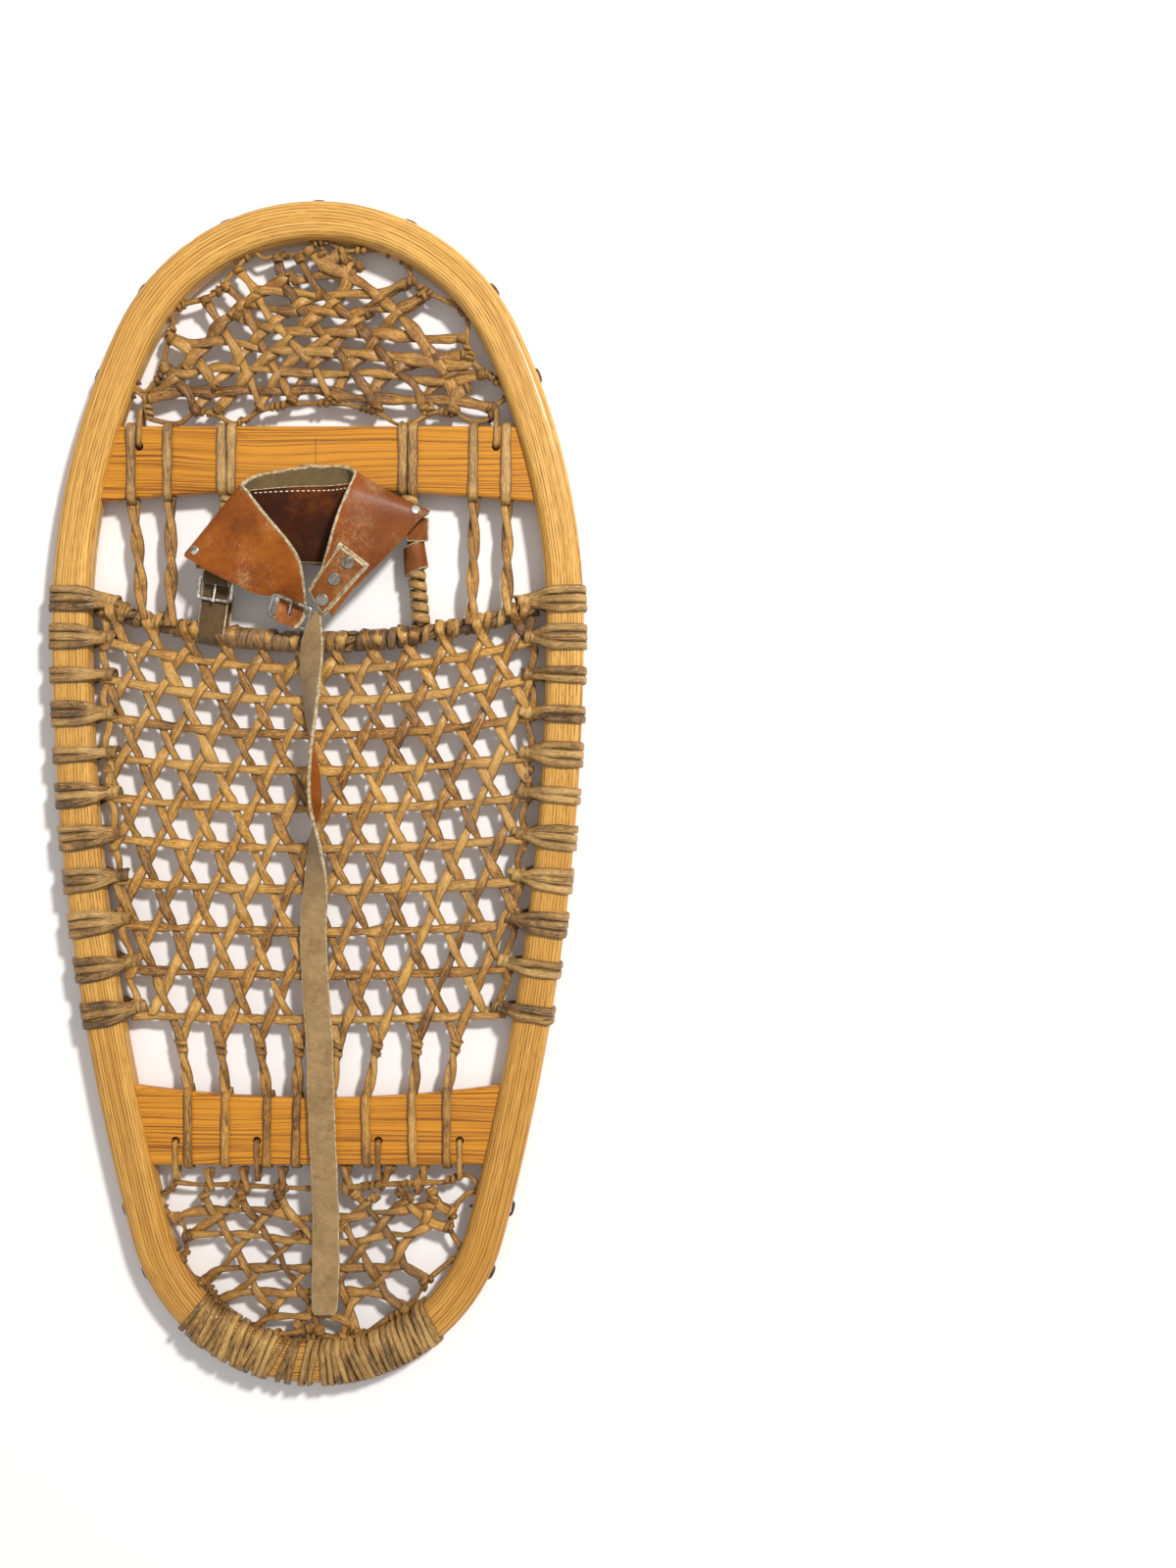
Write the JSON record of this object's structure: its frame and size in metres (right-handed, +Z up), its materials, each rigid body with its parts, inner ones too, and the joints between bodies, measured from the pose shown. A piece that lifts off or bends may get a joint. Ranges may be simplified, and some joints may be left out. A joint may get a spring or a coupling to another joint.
{
  "type": "bear paw snowshoe",
  "caption": "Wooden oval snowshoe with two crossbars, woven rawhide nets and a hinged leather toe binding with a long strap",
  "frame": {"origin": "on the ground under the middle of the hoop, the bottom centre of the bounding box", "axes": "+Y to the toe tip, +X to the wearer's right, +Z up from the snow to the boot"},
  "size_m": [0.3338, 0.736, 0.0423],
  "materials": {
    "ash": "varnished bent ash",
    "ash_bar": "varnished ash board, redder than the hoop",
    "rawhide": "varnished rawhide thong",
    "dark_rawhide": "aged rawhide, darker and dustier",
    "leather": "scuffed orange-brown grain leather",
    "leather_flesh": "grey-tan flesh side",
    "suede": "brown suede flesh side, orange grain side",
    "nickel": "worn nickel plate",
    "steel": "dull steel rivets"
  },
  "bodies": {
    "frame": {"frame_hoop": "ash", "toe_crossbar": "ash_bar", "heel_crossbar": "ash_bar", "toe_selvage": "rawhide", "toe_net_rows": "rawhide", "toe_net_left_diagonals": "rawhide", "toe_net_right_diagonals": "rawhide", "body_net_rows": "rawhide", "body_net_left_diagonals": "rawhide", "body_net_right_diagonals": "rawhide", "net_edge_thongs": "rawhide", "heel_selvage": "rawhide", "heel_net_rows": "rawhide", "heel_net_left_diagonals": "rawhide", "heel_net_right_diagonals": "rawhide", "left_rail_wraps": "dark_rawhide", "right_rail_wraps": "dark_rawhide", "heel_lashing": "rawhide", "rail_stitches": "dark_rawhide", "toe_cord": "dark_rawhide", "toe_cord_serving": "dark_rawhide", "left_side_cord": "dark_rawhide", "right_side_cord": "dark_rawhide", "side_cord_servings": "dark_rawhide", "toe_bar_loops": "rawhide", "heel_bar_loops": "rawhide", "fore_thongs": "rawhide", "aft_thongs": "rawhide", "toe_bar_ties": "rawhide", "heel_bar_ties": "rawhide", "left_anchor_strap": "leather", "right_anchor_loop": "leather", "closing_strap": "suede"},
    "binding": {"toe_collar": "leather", "collar_lining": "leather_flesh", "collar_tab": "leather", "tab_rivets": "steel", "corner_rivets": "steel", "left_anchor_link": "leather", "right_anchor_strap": "leather"},
    "front_buckle": {"front_buckle_frame": "nickel"},
    "front_prong": {"front_buckle_prong": "nickel"},
    "anchor_buckle": {"anchor_buckle_frame": "nickel"},
    "anchor_prong": {"anchor_buckle_prong": "nickel"}
  },
  "joints": [
    {"name": "binding_raise", "type": "hinge", "parent": "frame", "child": "binding", "pos_m": [0, 0.13185, 0.02007], "axis": [1, 0, 0], "range_deg": [0, 40], "deforming": ["closing_strap"]},
    {"name": "front_buckle_swing", "type": "hinge", "parent": "binding", "child": "front_buckle", "pos_m": [-0.0175, 0.10495, 0.02292], "axis": [0.9272, -0.3746, 0], "range_deg": [0, 40]},
    {"name": "front_prong_swing", "type": "hinge", "parent": "front_buckle", "child": "front_prong", "pos_m": [-0.0175, 0.10495, 0.02292], "axis": [0.9272, -0.3746, 0], "range_deg": [0, 80]},
    {"name": "anchor_buckle_swing", "type": "hinge", "parent": "frame", "child": "anchor_buckle", "pos_m": [-0.06127, 0.13185, 0.02007], "axis": [-0.9903, 0.1392, 0], "range_deg": [0, 15]},
    {"name": "anchor_prong_swing", "type": "hinge", "parent": "anchor_buckle", "child": "anchor_prong", "pos_m": [-0.06127, 0.13185, 0.02007], "axis": [-0.9903, 0.1392, 0], "range_deg": [0, 28]}
  ]
}
